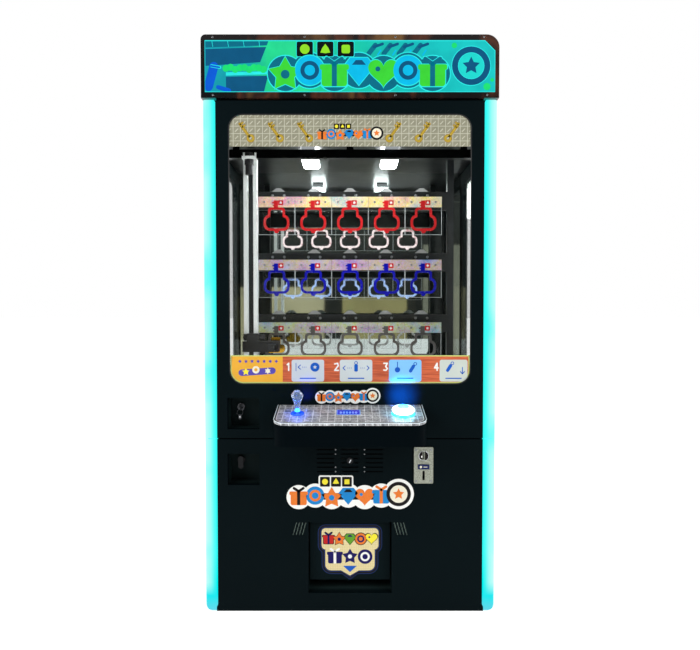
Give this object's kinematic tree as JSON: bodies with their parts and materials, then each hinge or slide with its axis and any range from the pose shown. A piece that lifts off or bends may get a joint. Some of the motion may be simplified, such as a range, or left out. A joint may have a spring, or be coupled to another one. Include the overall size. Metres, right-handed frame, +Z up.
{
  "type": "key push prize machine",
  "caption": "Tall glazed prize cabinet: joystick shelf, travelling key, plates with key holes, lit header and prize hatch.",
  "frame": {"origin": "on the floor under the centre of the machine's whole box", "axes": "+Z up, the player's side faces -Y, +X to the player's right"},
  "size_m": [0.99, 0.9, 1.94],
  "materials": {
    "black_paint": "satin black powder coat",
    "black_board": "black laminate on board, satin",
    "galvanised": "satin",
    "rubber": "matt",
    "clear_glass": "polished",
    "clear_acrylic": "polished",
    "edge_light": "lit translucent",
    "header_print": "gloss dark brown print",
    "header_lit": "lit translucent print",
    "steel": "satin",
    "chrome": "polished",
    "aluminium": "satin",
    "mirror": "polished",
    "strip_film": "holographic film",
    "trim_plastic": "gloss, one colour for each row",
    "white_plastic": "gloss",
    "black_plastic": "matt",
    "lamp": "lit diffuser",
    "deck_print": "clear over silver pattern",
    "display": "lit window",
    "clear_bulb": "clear faceted",
    "button_ring": "translucent lit",
    "button_cap": "translucent lit",
    "coin_casting": "cast, satin",
    "blue_label": "gloss",
    "gold": "polished",
    "board": "matt"
  },
  "bodies": {
    "cabinet": {"base_tray": "galvanised", "levelling_feet": "rubber", "cabinet_frame": "black_paint", "side_panel_right": "black_board", "side_panel_left": "black_board", "side_glass": "clear_glass", "rear_panel": "black_board", "roof_panel": "black_board", "corner_light_right": "edge_light", "corner_light_left": "edge_light", "ceiling_panel": "black_board", "ceiling_lights": "lamp", "chamber_floor": "black_board", "back_mirror": "mirror", "prize_chute": "steel", "marquee_box": "header_print", "marquee_face": "header_lit", "panel_screws": "chrome", "key_plates_top": "clear_acrylic", "key_plates_middle": "clear_acrylic", "key_plates_bottom": "clear_acrylic", "header_strips": "strip_film", "hole_trims": "trim_plastic", "prize_hooks": "white_plastic", "plate_beams": "black_paint", "x_rails": "aluminium", "door_hinges": "steel", "cash_box": "galvanised", "power_supply": "galvanised", "main_board": "board", "power_inlet": "black_plastic"},
    "gantry": {"gantry_column": "aluminium", "x_motor": "black_plastic"},
    "x_wheel": {"x_wheel": "rubber"},
    "lift": {"lift_carriage": "aluminium", "z_motor": "black_plastic"},
    "z_wheel": {"z_wheel": "rubber"},
    "key": {"key_bar": "aluminium", "key_head": "gold"},
    "upper_door": {"upper_door": "black_paint", "window_glass": "clear_glass", "control_box": "black_paint", "control_deck": "deck_print", "credit_display": "display", "joystick_base": "button_ring", "button_bezel": "button_ring"},
    "upper_lock": {"upper_lock": "chrome"},
    "yoke": {"joystick_yoke": "steel"},
    "stick": {"joystick_stick": "clear_bulb"},
    "play_button": {"button_dome": "button_cap"},
    "lower_door": {"lower_door": "black_paint", "speaker": "black_plastic", "coin_faceplate": "coin_casting", "coin_mech": "black_plastic"},
    "lower_lock": {"lower_lock": "chrome"},
    "grille_lock": {"grille_lock": "chrome"},
    "coin_button": {"coin_button": "blue_label"},
    "prize_flap": {"prize_flap": "black_plastic"},
    "rear_door": {"rear_door": "black_board"},
    "rear_lock": {"rear_lock": "chrome"}
  },
  "joints": [
    {"name": "gantry_slide", "type": "slide", "parent": "cabinet", "child": "gantry", "axis": [1, 0, 0], "range_m": [0, 0.548]},
    {"name": "x_wheel_turn", "type": "hinge", "parent": "gantry", "child": "x_wheel", "pos_m": [-0.352, -0.2003, 1.562], "axis": [0, 0, 1], "continuous": true},
    {"name": "lift_slide", "type": "slide", "parent": "gantry", "child": "lift", "axis": [0, 0, 1], "range_m": [0, 0.468]},
    {"name": "z_wheel_turn", "type": "hinge", "parent": "lift", "child": "z_wheel", "pos_m": [-0.374, -0.1998, 0.932], "axis": [1, 0, 0], "continuous": true},
    {"name": "key_push", "type": "slide", "parent": "lift", "child": "key", "axis": [0, 1, 0], "range_m": [0, 0.14]},
    {"name": "upper_door_hinge", "type": "hinge", "parent": "cabinet", "child": "upper_door", "pos_m": [0.444, -0.282, 1.16], "axis": [0, 0, 1], "range_deg": [0, 100]},
    {"name": "upper_lock_turn", "type": "hinge", "parent": "upper_door", "child": "upper_lock", "pos_m": [-0.38, -0.217, 0.69], "axis": [0, 1, 0], "range_deg": [0, 90]},
    {"name": "joystick_fore_aft", "type": "hinge", "parent": "upper_door", "child": "yoke", "pos_m": [-0.171, -0.3649, 0.66551], "axis": [1, 0, 0], "range_deg": [-10, 10], "stiffness_Nm_per_rad": 0.6},
    {"name": "joystick_side", "type": "hinge", "parent": "yoke", "child": "stick", "pos_m": [-0.171, -0.3649, 0.66551], "axis": [0, 0.9806, 0.1961], "range_deg": [-10, 10], "stiffness_Nm_per_rad": 0.6},
    {"name": "play_button_press", "type": "slide", "parent": "upper_door", "child": "play_button", "axis": [0, 0.1961, -0.9806], "range_m": [0, 0.004], "stiffness_N_per_m": 700, "springref_m": -0.003},
    {"name": "lower_door_hinge", "type": "hinge", "parent": "cabinet", "child": "lower_door", "pos_m": [0.444, -0.282, 0.3], "axis": [0, 0, 1], "range_deg": [0, 100]},
    {"name": "lower_lock_turn", "type": "hinge", "parent": "lower_door", "child": "lower_lock", "pos_m": [-0.38, -0.217, 0.504], "axis": [0, 1, 0], "range_deg": [0, 90]},
    {"name": "grille_lock_turn", "type": "hinge", "parent": "lower_door", "child": "grille_lock", "pos_m": [0, -0.29, 0.5175], "axis": [0, 1, 0], "range_deg": [0, 90]},
    {"name": "coin_button_press", "type": "slide", "parent": "lower_door", "child": "coin_button", "axis": [0, 1, 0], "range_m": [0, 0.003], "stiffness_N_per_m": 300, "springref_m": -0.001},
    {"name": "prize_flap_swing", "type": "hinge", "parent": "lower_door", "child": "prize_flap", "pos_m": [0, -0.262, 0.3], "axis": [1, 0, 0], "range_deg": [0, 60]},
    {"name": "rear_door_hinge", "type": "hinge", "parent": "cabinet", "child": "rear_door", "pos_m": [-0.289, 0.435, 0.7], "axis": [0, 0, 1], "range_deg": [0, 110]},
    {"name": "rear_lock_turn", "type": "hinge", "parent": "rear_door", "child": "rear_lock", "pos_m": [0.268, 0.439, 0.7], "axis": [0, 1, 0], "range_deg": [0, 90]}
  ],
  "couplings": [
    {"joint": "x_wheel_turn", "follows": "gantry_slide", "rad_per_m": 66.667},
    {"joint": "z_wheel_turn", "follows": "lift_slide", "rad_per_m": -83.333}
  ]
}
